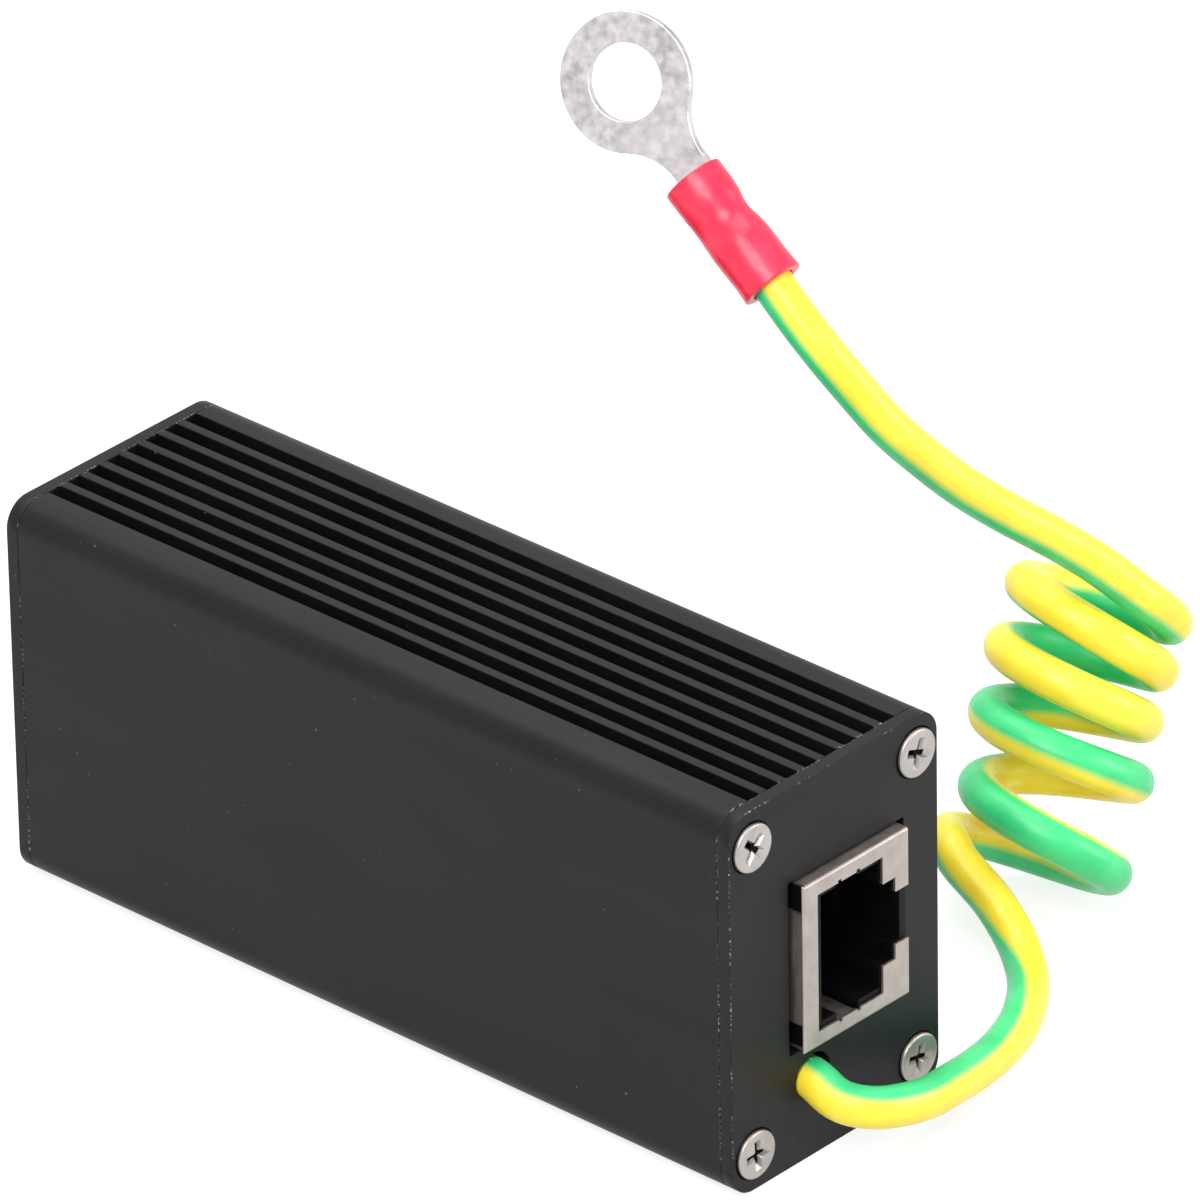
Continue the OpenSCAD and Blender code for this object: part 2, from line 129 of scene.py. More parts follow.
def bumped(material, shader, height, distanceMm, strength=1.0, after=None):
    inputs = {"Height": height, "Distance": distanceMm * mm, "Strength": strength}
    if after is not None:
        inputs["Normal"] = after
    node = addNode(material, "ShaderNodeBump", inputs=inputs)
    material.node_tree.links.new(node.outputs["Normal"], shader.inputs["Normal"])
    return node.outputs["Normal"]


def link(material, value, socket):
    material.node_tree.links.new(value, socket)


# Camera, as solved from the photograph

cameraView = {
    "aimMm": (1.9267 + 7.3205, -13.0267 + 6.2755, 17.955 + 16.956),
    "azimuth": -47.3155,
    "elevation": 29.6092,
    "roll": -1.0291,
    "distanceMm": 1249.264,
    "lensMm": 448.82,
}


def addCamera(view):
    a, e, r = (math.radians(view[k]) for k in ("azimuth", "elevation", "roll"))
    back = Vector((math.sin(a) * math.cos(e), -math.cos(a) * math.cos(e), math.sin(e)))
    right = Vector((math.cos(a), math.sin(a), 0))
    up = back.cross(right)
    right, up = (right * math.cos(r) + up * math.sin(r), up * math.cos(r) - right * math.sin(r))
    place = (Vector(view["aimMm"]) + back * view["distanceMm"]) * mm
    lens = bpy.data.cameras.new("camera")
    lens.lens = view["lensMm"]
    lens.sensor_width = 36
    lens.clip_start = 0.05
    lens.clip_end = 20
    camera = bpy.data.objects.new("camera", lens)
    bpy.context.scene.collection.objects.link(camera)
    camera.matrix_world = Matrix.Translation(place) @ Matrix(
        ((right.x, up.x, back.x, 0), (right.y, up.y, back.y, 0), (right.z, up.z, back.z, 0), (0, 0, 0, 1)))
    bpy.context.scene.camera = camera
    return np.array(right), np.array(up), np.array(back)


viewRight, viewUp, viewBack = addCamera(cameraView)
print("camera placed")


# Earth wire: 3.6 mm over the insulation, from the hole in the front plate to the terminal

earthWire = {
    "diameterMm": 3.6,
    "exitMm": (-3, -40.9, 7.5),
    "lengthMm": 302,
    "sides": 32,
    "stepMm": 0.5,
    "lead": [
        (-3, -40.3, 7.5), (-3, -41, 7.45), (-3.05, -42, 7.15), (-3.05, -43, 6.7), (-2.9, -44, 6.4),
        (-2.4, -45.2, 6.2), (-1, -46.4, 5.85), (1, -47, 5.4), (4, -47.2, 4.75), (8, -46.5, 3.95),
        (12.5, -45.4, 3), (17, -43.9, 2.1), (21, -42.4, 1.8), (24, -40.8, 1.8), (27, -38.6, 1.8),
        (29.2, -36.3, 2), (30.7, -33.9, 2.9), (31.3, -31, 5), (31.2, -29.1, 6.4), (31.1, -28.1, 7.1),
        (31.2, -27.1, 7.7), (31.8, -25.8, 8.2)],
    "coilBase": (36.657, -30.35, 3.089),
    "coilRise": (3.966, 1.353, 6.776),
    "coilBend": (-0.225, -0.131, -0.442),
    "coilRadii": (6.753, 6.278),
    "coilOval": 1.029,
    "coilStart": 197.6,
    "coilTurns": 4.66,
    "coilPerTurn": 16,
    "planeX": (0.5144, -0.8052, -0.295),
    "planeY": (0.6794, 0.5926, -0.4328),
    "planeUp": (0.5233, 0.0222, 0.8519),
    # how far each bend stands from the even coil, by turns: to the right and upwards in the camera's view
    "coilShifts": [
        (0, -0.72, 2.5), (0.5, -0.23, -0.2), (1, 0.43, -0.54), (1.5, 0.34, 0.75), (2, -0.23, -0.44),
        (2.5, -0.12, 0.12), (3, -0.31, -0.03), (3.5, -0.03, -0.35), (4, 0.16, 1.18), (4.5, 0.08, -0.1),
        (4.8, 0, 1.6)],
    "tail": [
        (48.9, -32.9, 27.4), (47.5, -31.7, 29.2), (46, -30.1, 31.1), (44.15, -28.6, 33), (41.6, -27.4, 35.3),
        (38.7, -26, 37.8),
        (35.2, -24.5, 41.1), (32, -23, 44.7), (29, -21.5, 48.5), (27.2, -19.2, 52.2), (26, -17.1, 55.2),
        (25.5, -14.6, 57.8), (25.5, -12, 60), (25.5, -10, 61.57)],
    # where the middle of the green stripe lies: degrees from the camera side, to the left of travel
    "greenLead": [(0, 112), (0.25, 106), (0.6, 110), (0.75, 122), (0.88, 138), (1, 142)],
    "greenTail": [(0, 116), (0.15, 124), (0.5, 130), (0.85, 124), (1, 120)],
    # degrees from the outside of the coil, upwards, by turns
    "greenCoil": [
        (0, -84), (0.35, -80), (0.5, -50), (0.75, -25), (1, -5), (1.25, 10), (1.42, 40), (1.5, 62),
        (1.75, 74), (2, 84), (2.1, 100), (2.25, 96), (2.38, 112), (2.5, 150), (2.62, 165),
        (2.75, 172), (3, 176), (3.25, 182), (3.5, 190), (3.75, 200), (3.9, 220), (4, 230),
        (4.1, 268), (4.25, 250), (4.4, 232), (4.5, 236), (4.7, 232)],
}


def smoothLine(points, stepMm):
    # a centripetal Catmull-Rom curve through the points, cut into even steps
    p = np.array(points, float)
    p = np.vstack([2 * p[0] - p[1], p, 2 * p[-1] - p[-2]])
    out = []
    for i in range(1, len(p) - 2):
        p0, p1, p2, p3 = p[i - 1:i + 3]
        t0 = 0.0
        t1 = t0 + math.sqrt(np.linalg.norm(p1 - p0))
        t2 = t1 + math.sqrt(np.linalg.norm(p2 - p1))
        t3 = t2 + math.sqrt(np.linalg.norm(p3 - p2))
        for t in np.linspace(t1, t2, 16, endpoint=False):
            a1 = (t1 - t) / (t1 - t0) * p0 + (t - t0) / (t1 - t0) * p1
            a2 = (t2 - t) / (t2 - t1) * p1 + (t - t1) / (t2 - t1) * p2
            a3 = (t3 - t) / (t3 - t2) * p2 + (t - t2) / (t3 - t2) * p3
            b1 = (t2 - t) / (t2 - t0) * a1 + (t - t0) / (t2 - t0) * a2
            b2 = (t3 - t) / (t3 - t1) * a2 + (t - t1) / (t3 - t1) * a3
            out.append((t2 - t) / (t2 - t1) * b1 + (t - t1) / (t2 - t1) * b2)
    out.append(p[-2])
    line = np.array(out)
    along = np.concatenate([[0], np.cumsum(np.linalg.norm(np.diff(line, axis=0), axis=1))])
    at = np.linspace(0, along[-1], int(round(along[-1] / stepMm)) + 1)
    return np.stack([np.interp(at, along, line[:, k]) for k in range(3)], axis=1), at


def coilPoint(wire, t):
    base, rise, bend, x, y = (np.array(wire[k]) for k in (
        "coilBase", "coilRise", "coilBend", "planeX", "planeY"))
    r0, r1 = wire["coilRadii"]
    radius = r0 + (r1 - r0) * t / 4.5
    phi = math.radians(wire["coilStart"] - 360 * t)
    out = math.cos(phi) * x + math.sin(phi) * y
    oval = math.cos(phi) * x + wire["coilOval"] * math.sin(phi) * y
    shifts = wire["coilShifts"]
    k = max(i for i in range(len(shifts) - 1) if shifts[i][0] <= t)
    share = (t - shifts[k][0]) / (shifts[k + 1][0] - shifts[k][0])
    share = share * share * (3 - 2 * share)
    right, up = (shifts[k][j] + (shifts[k + 1][j] - shifts[k][j]) * share for j in (1, 2))
    return base + rise * t + bend * t * t + radius * oval + right * viewRight + up * viewUp, out


def keyed(keys, at):
    return np.interp(at, [k[0] for k in keys], [k[1] for k in keys])


def wireRoute(wire):
    # the smooth route, and the direction of the green stripe at each of its points
    turns = wire["coilTurns"]
    ts = np.linspace(0, turns, int(round(turns * wire["coilPerTurn"])) + 1)
    knots = [np.array(p, float) for p in wire["lead"]]
    knots += [coilPoint(wire, t)[0] for t in ts]
    knots += [np.array(p, float) for p in wire["tail"]]
    line, at = smoothLine(knots, wire["stepMm"])
    heading = np.gradient(line, axis=0)
    heading /= np.linalg.norm(heading, axis=1)[:, None]
    dense = [coilPoint(wire, t) for t in np.linspace(0, turns, 900)]
    coilLine = np.array([d[0] for d in dense])
    first = int(np.argmin(np.linalg.norm(line - coilLine[0], axis=1)))
    last = int(np.argmin(np.linalg.norm(line - coilLine[-1], axis=1)))
    upward = np.array(wire["planeUp"])
    green = np.zeros_like(line)
    k = 0
    for i in range(len(line)):
        if first <= i <= last:
            while k < 899 and np.linalg.norm(coilLine[k + 1] - line[i]) <= np.linalg.norm(coilLine[k] - line[i]):
                k += 1
            t = turns * k / 899
            angle = math.radians(keyed(wire["greenCoil"], t))
            green[i] = math.cos(angle) * dense[k][1] + math.sin(angle) * upward
            continue
        share = i / first if i < first else (i - last) / (len(line) - 1 - last)
        keys = wire["greenLead"] if i < first else wire["greenTail"]
        angle = math.radians(keyed(keys, share))
        left = np.cross(viewBack, heading[i])
        green[i] = math.cos(angle) * viewBack + math.sin(angle) * left / max(np.linalg.norm(left), 1e-6)
    green -= (green * heading).sum(1)[:, None] * heading
    green /= np.linalg.norm(green, axis=1)[:, None]
    # turn the directions into a twist against an untwisted frame, and smooth it
    side = green[0]
    sides, twist = [], []
    for i in range(len(line)):
        side = side - (side @ heading[i]) * heading[i]
        side = side / np.linalg.norm(side)
        other = np.cross(heading[i], side)
        sides.append((side, other))
        twist.append(math.atan2(green[i] @ other, green[i] @ side))
    twist = np.unwrap(twist)
    width = 9
    window = np.hanning(2 * width + 1)
    window /= window.sum()
    twist = np.convolve(np.pad(twist, width, mode="edge"), window, mode="valid")
    green = np.array([math.cos(a) * s + math.sin(a) * o for a, (s, o) in zip(twist, sides)])
    return line, at, heading, green


def tubeMesh(name, line, at, heading, start, radius, sides):
    # a closed tube with the attributes stripe, 1 at the middle of the green, and along, in metres
    other = np.cross(heading, start)
    turn = np.linspace(0, 2 * math.pi, sides, endpoint=False)
    rings = (line[:, None, :] + radius * (np.cos(turn)[None, :, None] * start[:, None, :]
                                          + np.sin(turn)[None, :, None] * other[:, None, :]))
    points = (rings.reshape(-1, 3) * mm).tolist()
    count = len(line)
    faces = []
    for i in range(count - 1):
        for k in range(sides):
            n = (k + 1) % sides
            faces.append((i * sides + k, i * sides + n, (i + 1) * sides + n, (i + 1) * sides + k))
    faces.append(tuple(reversed(range(sides))))
    faces.append(tuple((count - 1) * sides + k for k in range(sides)))
    mesh = bpy.data.meshes.new(name)
    mesh.from_pydata(points, [], faces)
    stripe = mesh.attributes.new("stripe", "FLOAT", "POINT")
    stripe.data.foreach_set("value", np.tile(np.cos(turn), count).astype(np.float32))
    along = mesh.attributes.new("along", "FLOAT", "POINT")
    along.data.foreach_set("value", (np.repeat(at, sides) * mm).astype(np.float32))
    mesh.shade_smooth()
    piece = bpy.data.objects.new(name, mesh)
    bpy.context.scene.collection.objects.link(piece)
    return piece


route, routeAt, routeHeading, routeGreen = wireRoute(earthWire)
print("earth wire is", round(float(routeAt[-1]), 1), "mm long")
wirePiece = tubeMesh("earthWire", route, routeAt, routeHeading, routeGreen,
                     earthWire["diameterMm"] / 2, earthWire["sides"])


# Materials

finish = {
    "anodisedDark": "#0e0e10",
    "anodisedPale": "#141417",
    "wornEdge": "#8f8c88",
    "dust": "#5c5a58",
    "nickelScrew": "#b6b0ad",
    "nickelSheet": "#b3a9a4",
    "socketBlack": "#060607",
    "socketPale": "#0b0b0c",
    "gold": "#e0b558",
    "yellow": "#fbe846",
    "yellowDeep": "#f2d636",
    "green": "#46d686",
    "greenDeep": "#30c276",
    "sleeve": "#fb3152",
    "sleeveDeep": "#e61a3e",
    "tin": "#d2cecf",
    "tinDull": "#b3afb0",
    "tinBright": "#d3cdce",
    "copper": "#c97a4b",
    "board": "#0c4a26",
    "boardPale": "#12582f",
    "ceramic": "#e6e1d8",
    "ceramicPale": "#efeae2",
    "cap": "#c8c5c0",
    "solder": "#cfcfd1",
}


def anodisedAluminium(name, specular, worn=False):
    # bead-blasted, black anodised aluminium: a dense matt black with a soft, broad sheen
    material, shader = newMaterial(name)
    shader.inputs["Specular IOR Level"].default_value = specular
    cloud = noise(material, 14, 3)
    base = ramp(material, cloud, [(0.3, finish["anodisedDark"]), (0.7, finish["anodisedPale"])])
    # dust: a few pale specks about 0.2 mm across
    dust = span(material, noise(material, 0.55, 1), 0.80, 0.84, 0, 1)
    base = mixed(material, dust, base, finish["dust"])
    if worn:
        # rubbed edges: bare metal shows in short broken lines
        rub = span(material, noise(material, 0.3, 3, 0.7), 0.53, 0.61, 0, 1)
        patch = span(material, noise(material, 4, 2), 0.40, 0.58, 0, 1)
        both = addNode(material, "ShaderNodeMath", {"operation": "MULTIPLY"})
        link(material, rub, both.inputs[0])
        link(material, patch, both.inputs[1])
        base = mixed(material, both.outputs[0], base, finish["wornEdge"])
    link(material, base, shader.inputs["Base Color"])
    link(material, span(material, noise(material, 6, 4, stretch=(1, 0.08, 1)), 0.3, 0.7, 0.42, 0.52),
         shader.inputs["Roughness"])
    bumped(material, shader, noise(material, 0.16, 2), 0.012, 0.5)
    return material


def nickelPlate(name, colour, roughLow, roughHigh):
    # nickel plating on steel: warm grey metal with fine rubbing marks
    material, shader = newMaterial(name)
    shader.inputs["Metallic"].default_value = 1.0
    dull = "#%02x%02x%02x" % tuple(int(int(colour[i:i + 2], 16) * 0.93) for i in (1, 3, 5))
    tone = noise(material, 1.6, 4, 0.6)
    link(material, ramp(material, tone, [(0.35, dull), (0.65, colour)]), shader.inputs["Base Color"])
    link(material, span(material, noise(material, 0.5, 3, stretch=(1, 1, 0.15)), 0.3, 0.7, roughLow, roughHigh),
         shader.inputs["Roughness"])
    bumped(material, shader, noise(material, 0.18, 3), 0.01, 0.35)
    return material


def mouldedPlastic(name, colour, paler, roughness, grainMm=0.2, specular=0.5):
    # glass-filled moulding plastic: fine spark-eroded grain
    material, shader = newMaterial(name)
    shader.inputs["Specular IOR Level"].default_value = specular
    link(material, ramp(material, noise(material, 3, 2), [(0.3, colour), (0.7, paler)]),
         shader.inputs["Base Color"])
    link(material, span(material, noise(material, 0.9, 2), 0.3, 0.7, roughness - 0.06, roughness + 0.06),
         shader.inputs["Roughness"])
    bumped(material, shader, noise(material, grainMm, 2), 0.01, 0.4)
    return material


def plainMetal(name, colour, roughness):
    # drawn or plated metal with faint handling marks
    material, shader = newMaterial(name)
    shader.inputs["Metallic"].default_value = 1.0
    shader.inputs["Base Color"].default_value = linear(colour)
    link(material, span(material, noise(material, 0.8, 3), 0.3, 0.7, roughness - 0.08, roughness + 0.08),
         shader.inputs["Roughness"])
    bumped(material, shader, noise(material, 0.3, 3), 0.008, 0.4)
    return material


def stripedPvc(name):
    # PVC insulation in two colours, extruded together: a soft sheen, green and yellow meeting softly
    material, shader = newMaterial(name)
    stripe = addNode(material, "ShaderNodeAttribute", {"attribute_name": "stripe"}).outputs["Fac"]
    edge = span(material, stripe, -0.2, 0.2, 0, 1)
    tone = noise(material, 4, 3)
    yellow = ramp(material, tone, [(0.3, finish["yellowDeep"]), (0.7, finish["yellow"])])
    green = ramp(material, tone, [(0.3, finish["greenDeep"]), (0.7, finish["green"])])
    link(material, mixed(material, edge, yellow, green), shader.inputs["Base Color"])
    link(material, span(material, noise(material, 1.1, 3), 0.3, 0.7, 0.32, 0.44), shader.inputs["Roughness"])
    shader.inputs["Subsurface Weight"].default_value = 0.25
    shader.inputs["Subsurface Radius"].default_value = (0.9 * mm, 0.5 * mm, 0.2 * mm)
    shader.inputs["Subsurface Scale"].default_value = 1.0
    bumped(material, shader, noise(material, 0.7, 3), 0.02, 0.35)
    return material


def vinylSleeve(name):
    # soft vinyl tube, pressed by the crimping tool: red, glossy, slightly see-through
    material, shader = newMaterial(name)
    tone = noise(material, 2.5, 3)
    link(material, ramp(material, tone, [(0.3, finish["sleeveDeep"]), (0.7, finish["sleeve"])]),
         shader.inputs["Base Color"])
    link(material, span(material, noise(material, 0.8, 3), 0.3, 0.7, 0.24, 0.40), shader.inputs["Roughness"])
    shader.inputs["Subsurface Weight"].default_value = 0.15
    shader.inputs["Subsurface Radius"].default_value = (0.8 * mm, 0.2 * mm, 0.2 * mm)
    shader.inputs["Subsurface Scale"].default_value = 1.0
    bumped(material, shader, noise(material, 0.9, 3), 0.03, 0.5)
    return material


def tinnedCopper(name):
    # stamped copper, tinned: a mid grey with soft stains and fine pits
    material, shader = newMaterial(name)
    shader.inputs["Metallic"].default_value = 1.0
    spangle = ramp(material, noise(material, 1.8, 6, 0.62), [(0.38, finish["tinDull"]), (0.6, finish["tin"])])
    cloud = span(material, noise(material, 4, 2), 0.4, 0.62, 0, 0.75)
    link(material, mixed(material, cloud, spangle, finish["tinBright"]), shader.inputs["Base Color"])
    link(material, span(material, noise(material, 0.9, 4), 0.3, 0.7, 0.26, 0.46), shader.inputs["Roughness"])
    bumped(material, shader, noise(material, 0.35, 4), 0.02, 0.5)
    return material


blackMetal = anodisedAluminium("anodisedAluminium", 0.22)
blackMetalWorn = anodisedAluminium("anodisedAluminiumWornEdge", 0.22, True)
# painted shade: the same black with a much lower specular level, put on the groove faces so that they read
# darker, as if shaded
blackMetalPaintedGrooveShade = anodisedAluminium("anodisedAluminiumPaintedGrooveShade", 0.05)
screwMetal = nickelPlate("nickelPlatedScrew", finish["nickelScrew"], 0.36, 0.48)
sheetMetal = nickelPlate("nickelPlatedSheet", finish["nickelSheet"], 0.44, 0.54)
socketPlastic = mouldedPlastic("socketMoulding", finish["socketBlack"], finish["socketPale"], 0.46, 0.2, 0.12)
goldSpring = plainMetal("goldPlatedSpring", finish["gold"], 0.26)
boardGreen = mouldedPlastic("solderMask", finish["board"], finish["boardPale"], 0.34, 0.5)
ceramic = mouldedPlastic("glazedCeramic", finish["ceramic"], finish["ceramicPale"], 0.22, 0.6)
capMetal = plainMetal("nickelPlatedCap", finish["cap"], 0.3)
wirePlastic = stripedPvc("stripedPvc")
sleeveVinyl = vinylSleeve("redVinyl")
terminalTin = tinnedCopper("tinnedCopper")
strandCopper = plainMetal("copperStrands", finish["copper"], 0.32)
solderTin = plainMetal("solder", finish["solder"], 0.25)
print("materials made")


# Pieces that take a CAD node's shape, with its edges broken as the real ones are

def dressed(node, name, materials, edgeMm, reshape=None, clamp=False, sharp=32, merge=0.0004):
    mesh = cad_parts[node].data.copy()
    mesh.name = name
    piece = bpy.data.objects.new(name, mesh)
    bpy.context.scene.collection.objects.link(piece)
    pick(piece)
    mesh.materials.clear()
    for material in materials:
        mesh.materials.append(material)
    bpy.ops.object.mode_set(mode="EDIT")
    bpy.ops.mesh.select_all(action="SELECT")
    bpy.ops.mesh.remove_doubles(threshold=merge * mm)
    bpy.ops.mesh.customdata_custom_splitnormals_clear()
    bpy.ops.mesh.dissolve_limited(angle_limit=math.radians(0.6))
    bpy.ops.object.mode_set(mode="OBJECT")
    for polygon in mesh.polygons:
        polygon.material_index = 0
    if reshape:
        reshape(piece)
    bevel = piece.modifiers.new("edge", "BEVEL")
    bevel.width = edgeMm * mm
    bevel.segments = 2
    bevel.limit_method = "ANGLE"
    bevel.angle_limit = math.radians(sharp)
    bevel.use_clamp_overlap = clamp
    bevel.miter_outer = "MITER_SHARP" if clamp else "MITER_ARC"
    bevel.material = min(1, len(materials) - 1)
    bpy.ops.object.modifier_apply(modifier="edge")
    bpy.ops.object.shade_smooth_by_angle(angle=math.radians(34))
    even = piece.modifiers.new("even", "WEIGHTED_NORMAL")
    even.keep_sharp = True
    bpy.ops.object.modifier_apply(modifier="even")
    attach(piece, "root")
    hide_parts(node)
    return piece


def selectEdges(piece, wanted):
    # in edit mode: the edges both of whose ends satisfy wanted, given in millimetres
    bm = bmesh.from_edit_mesh(piece.data)
    for edge in bm.edges:
        edge.select_set(all(wanted(*(v.co / mm)) for v in edge.verts))
    bmesh.update_edit_mesh(piece.data)


aluminium = {
    "shellEdgeMm": 0.12,
    "plateEdgeMm": 0.10,
    "grooveOutMm": 9.1,
    "grooveFloorMm": 34.1,
    "wearReachMm": 0.3,
}


def wearEnds(piece, outline):
    # bare metal shows only along the outer edges of the two ends, and the groove faces take a less reflective
    # copy of the black as painted shade
    lowest, highest = (np.array(c) / mm for c in outline)
    reach = aluminium["wearReachMm"]
    for polygon in piece.data.polygons:
        x, y, z = polygon.center / mm
        atEnd = min(y - lowest[1], highest[1] - y) < reach
        atSide = min(x - lowest[0], highest[0] - x, z - lowest[2], highest[2] - z) < reach
        if polygon.material_index == 1 and not (atEnd and atSide):
            polygon.material_index = 0
        # the groove faces get the painted-shade copy of the black
        inGroove = abs(x) < aluminium["grooveOutMm"] and aluminium["grooveFloorMm"] < z < highest[2] - 0.13
        if inGroove and len(piece.data.materials) > 2:
            polygon.material_index = 2


housing = dressed("housing", "housingShell",
                  [blackMetal, blackMetalWorn, blackMetalPaintedGrooveShade], aluminium["shellEdgeMm"])
wearEnds(housing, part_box("housing"))


# Screws: countersunk, cross recess, nickel plated

screw = {
    "headMm": 4.4,
    "riseMm": 0.36,
    "coneMm": 0.95,
    "shankMm": 2.5,
    "lengthMm": 7,
    "rimMm": 0.2,
    "sinkMm": 4.66,
    "recessMm": 2.85,
    "armMm": 0.76,
    "recessDeepMm": 0.45,
    "armEnds": (0.62, 0.5),
    "throatMm": 0.62,
    "sides": 48,
    "placesMm": (10.15, 3.45, 32.75),
    # how far each recess is turned, clockwise from upright: upper left, upper right, lower right, lower left
    "turns": ((-1, 1, 42), (1, 1, 20), (1, -1, 11), (-1, -1, -3)),
}


def selectFaces(piece, wanted):
    # in edit mode: the faces whose middle, in millimetres, satisfies wanted
    bm = bmesh.from_edit_mesh(piece.data)
    for face in bm.faces:
        face.select_set(wanted(*(face.calc_center_median() / mm)))
    bmesh.update_edit_mesh(piece.data)


def taperedBox(across, wide, deep, shares):
    # a box from just over z = 0 down to -deep, its lower face drawn in to the given shares
    deselectAll()
    bpy.ops.mesh.primitive_cube_add(size=1, location=(0, 0, 0))
    box = bpy.context.object
    bpy.ops.object.mode_set(mode="EDIT")
    bpy.ops.transform.resize(value=(across * mm, wide * mm, deep * mm))
    bpy.ops.transform.translate(value=(0, 0, -deep / 2 * mm))
    selectFaces(box, lambda x, y, z: z < -deep * 0.9)
    bpy.ops.transform.resize(value=(shares[0], shares[1], 1))
    bpy.ops.object.mode_set(mode="OBJECT")
    return box


def carve(piece, cutter, turn=0):
    cutter.data.transform(Matrix.Rotation(turn, 4, "Z"))
    pick(piece)
    cut = piece.modifiers.new("cut", "BOOLEAN")
    cut.operation = "DIFFERENCE"
    cut.solver = "EXACT"
    cut.object = cutter
    bpy.ops.object.modifier_apply(modifier="cut")


def screwMaster():
    # stands on z = 0 with its head upwards; the recess starts at the top of the head
    deselectAll()
    head = screw["riseMm"]
    bpy.ops.mesh.primitive_cylinder_add(vertices=screw["sides"], radius=screw["headMm"] / 2 * mm,
                                        depth=head * mm, location=(0, 0, head / 2 * mm))
    master = bpy.context.object
    bpy.ops.object.transform_apply(location=True, rotation=True, scale=True)
    bpy.ops.object.mode_set(mode="EDIT")
    selectEdges(master, lambda x, y, z: z > head - 0.01)
    bpy.ops.mesh.bevel(offset=screw["rimMm"] * mm, segments=4, affect="EDGES")
    selectFaces(master, lambda x, y, z: z < 0.01)
    narrow = screw["shankMm"] / screw["headMm"]
    bpy.ops.mesh.extrude_region_move(TRANSFORM_OT_translate={"value": (0, 0, -screw["coneMm"] * mm)})
    bpy.ops.transform.resize(value=(narrow, narrow, 1))
    shank = screw["lengthMm"] - screw["coneMm"]
    bpy.ops.mesh.extrude_region_move(TRANSFORM_OT_translate={"value": (0, 0, -(shank - 0.4) * mm)})
    bpy.ops.mesh.extrude_region_move(TRANSFORM_OT_translate={"value": (0, 0, -0.4 * mm)})
    bpy.ops.transform.resize(value=(0.75, 0.75, 1))
    bpy.ops.object.mode_set(mode="OBJECT")
    return master


def screwSet(name, node, facing):
    # four screws in one piece; facing is -1 at the front and 1 at the rear
    sideMm, lowMm, highMm = screw["placesMm"]
    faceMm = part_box("front_plate")[0][1] / mm * -facing
    copies = []
    for side, level, turn in screw["turns"]:
        copy = screwMaster()
        deep = screw["recessDeepMm"]
        for quarter in (0, 90):
            arm = taperedBox(screw["recessMm"], screw["armMm"], deep, screw["armEnds"])
            arm.data.transform(Matrix.Translation((0, 0, (screw["riseMm"] + 0.001) * mm)))
            carve(copy, arm, math.radians(quarter - turn))
            bpy.data.objects.remove(arm)
        deselectAll()
        bpy.ops.mesh.primitive_cone_add(vertices=24, radius1=0.15 * mm, radius2=screw["throatMm"] * mm,
                                        depth=deep * 1.3 * mm,
                                        location=(0, 0, (screw["riseMm"] + 0.001 - deep * 0.65) * mm))
        throat = bpy.context.object
        bpy.ops.object.transform_apply(location=True, rotation=True, scale=True)
        carve(copy, throat)
        bpy.data.objects.remove(throat)
        # the head looks along the plate's outward side
        stand = Matrix.Rotation(math.radians(90), 4, "X")
        if facing > 0:
            stand = Matrix.Rotation(math.pi, 4, "Z") @ stand
        place = Vector((side * sideMm * -facing, faceMm, highMm if level > 0 else lowMm)) * mm
        copy.data.transform(Matrix.Translation(place) @ stand)
        copies.append(copy)
    deselectAll()
    for copy in copies:
        copy.select_set(True)
    bpy.context.view_layer.objects.active = copies[0]
    bpy.ops.object.join()
    piece = bpy.context.object
    piece.name = name
    piece.data.materials.clear()
    piece.data.materials.append(screwMetal)
    bpy.ops.object.shade_smooth_by_angle(angle=math.radians(30))
    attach(piece, "root")
    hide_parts(node)
    return piece


def closeSinks(piece):
    # the countersinks fit the screw heads closely
    sideMm, lowMm, highMm = screw["placesMm"]
    for vertex in piece.data.vertices:
        x, y, z = vertex.co / mm
        if abs(abs(y) - 40.9) > 0.01:
            continue
        centre = Vector((math.copysign(sideMm, x), z * 0 + (highMm if z > 18 else lowMm)))
        away = Vector((x, z)) - centre
        if 2.4 < away.length < 2.7:
            away *= screw["sinkMm"] / 2 / away.length
            vertex.co.x, vertex.co.z = (centre.x + away.x) * mm, (centre.y + away.y) * mm


# Socket: the sheet is folded round the outside of the mouth, so those edges are round

socket = {
    "leftMm": -5.05,
    "lowMm": 11,
    "highMm": 27,
    "faceMm": 42,
    "foldMm": 0.27,
    "edgeMm": 0.045,
}


def roundFolds(piece):
    near = 0.01
    pick(piece)
    bpy.ops.object.mode_set(mode="EDIT")
    selectEdges(piece, lambda x, y, z: abs(abs(y) - socket["faceMm"]) < near and (
        abs(x - socket["leftMm"]) < near or abs(z - socket["lowMm"]) < near
        or abs(z - socket["highMm"]) < near))
    bpy.ops.mesh.bevel(offset=socket["foldMm"] * mm, segments=4, affect="EDGES")
    bpy.ops.object.mode_set(mode="OBJECT")


for end, facing in (("front", -1), ("rear", 1)):
    plate = dressed(end + "_plate", end + "EndPlate", [blackMetal, blackMetalWorn],
                    aluminium["plateEdgeMm"], closeSinks)
    wearEnds(plate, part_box(end + "_plate"))
    screwSet(end + "Screws", end + "_screws", facing)
    dressed(end + "_jack_shield", end + "SocketCan", [sheetMetal], socket["edgeMm"], roundFolds)
    dressed(end + "_jack_insert", end + "SocketBody", [socketPlastic], 0.08)
    dressed(end + "_jack_contacts", end + "SocketContacts", [goldSpring], 0.03)
print("housing, plates and sockets dressed")

